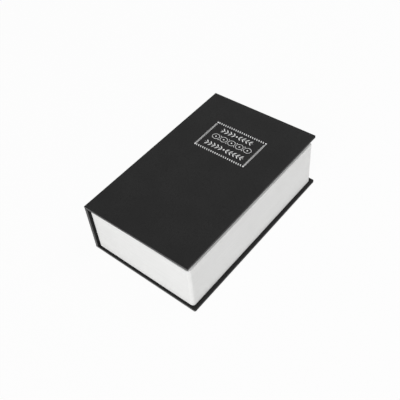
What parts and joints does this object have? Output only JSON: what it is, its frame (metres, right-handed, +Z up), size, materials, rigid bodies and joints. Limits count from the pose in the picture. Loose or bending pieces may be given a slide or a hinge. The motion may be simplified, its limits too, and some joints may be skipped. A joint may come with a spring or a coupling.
{
  "type": "book diversion safe",
  "caption": "Hardback book hiding a steel cash box: the front cover opens on its crease, and a hinged steel lid with a cam lock closes the box inside a moulded page block.",
  "frame": {"origin": "centre of the book's bounding box at the level of the back cover's outer face, on which it lies", "axes": "+X from the spine to the fore edge, +Y from the tail to the head, +Z up, from the back cover to the front cover"},
  "size_m": [0.1158, 0.18, 0.0583],
  "materials": {
    "leatherette": "matte",
    "greyboard": "matte",
    "lining_paper": "matte",
    "page_plastic": "matte",
    "painted_steel": "satin",
    "zinc_steel": "satin",
    "nickel": "polished"
  },
  "bodies": {
    "case": {"back_board": "greyboard", "back_wrap": "leatherette", "back_lining": "lining_paper", "spine_board": "greyboard", "spine_wrap": "leatherette", "spine_lining": "lining_paper", "page_block": "page_plastic", "box_body": "painted_steel", "hinge_pin": "zinc_steel", "latch_keeper": "zinc_steel", "floor_rivet_1": "zinc_steel", "floor_rivet_2": "zinc_steel", "floor_rivet_3": "zinc_steel", "floor_rivet_4": "zinc_steel"},
    "front_cover": {"front_board": "greyboard", "front_wrap": "leatherette", "front_lining": "lining_paper"},
    "lid": {"lid_panel": "painted_steel", "lock_housing": "nickel", "lock_washer": "zinc_steel", "lock_nut": "zinc_steel"},
    "lock_core": {"lock_plug": "nickel", "stop_washer": "zinc_steel", "cam": "zinc_steel", "cam_washer": "zinc_steel", "cam_screw": "zinc_steel"}
  },
  "joints": [
    {"name": "cover_hinge", "type": "hinge", "parent": "case", "child": "front_cover", "pos_m": [-0.05787, 0, 0.053], "axis": [0, -1, 0], "range_deg": [0, 176.5]},
    {"name": "lid_hinge", "type": "hinge", "parent": "case", "child": "lid", "pos_m": [-0.04507, 0, 0.0477], "axis": [0, -1, 0], "range_deg": [0, 120]},
    {"name": "lock_turn", "type": "hinge", "parent": "lid", "child": "lock_core", "pos_m": [0.02919, 0, 0.0467], "axis": [0, 0, -1], "range_deg": [0, 90]}
  ],
  "couplings": [
    {"joint": "lid_hinge", "follows": "cover_hinge", "ratio": 0.6798}
  ]
}
